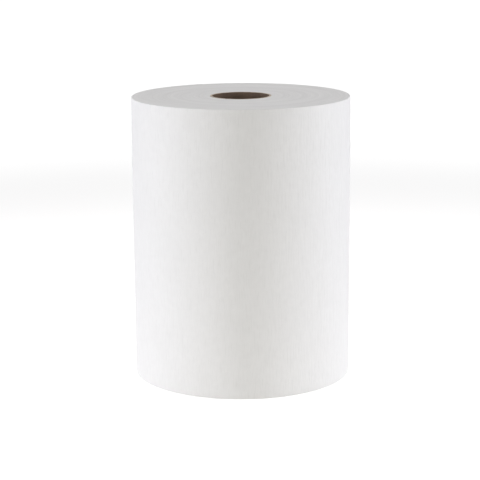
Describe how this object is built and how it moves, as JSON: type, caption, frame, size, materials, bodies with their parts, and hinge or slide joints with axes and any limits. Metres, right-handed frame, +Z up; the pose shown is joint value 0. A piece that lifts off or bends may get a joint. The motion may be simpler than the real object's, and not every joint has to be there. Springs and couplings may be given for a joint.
{
  "type": "paper towel roll",
  "caption": "Hardwound roll of white paper towel on a cardboard core, standing on end, with a through bore for a dispenser spindle.",
  "frame": {"origin": "on the roll's axis, in the plane of its lower end, which stands on the floor", "axes": "+Z up along the roll's axis; -Y is the front; the sheet's free edge lies at the back, 112 degrees from +X about +Z"},
  "size_m": [0.1579, 0.1578, 0.2032],
  "materials": {
    "towel_paper": "matte creped tissue paper, bleached white",
    "core_board": "matte spiral-wound chipboard, brown"
  },
  "bodies": {
    "root": {"towel_web": "towel_paper", "core_tube": "core_board"}
  },
  "joints": []
}
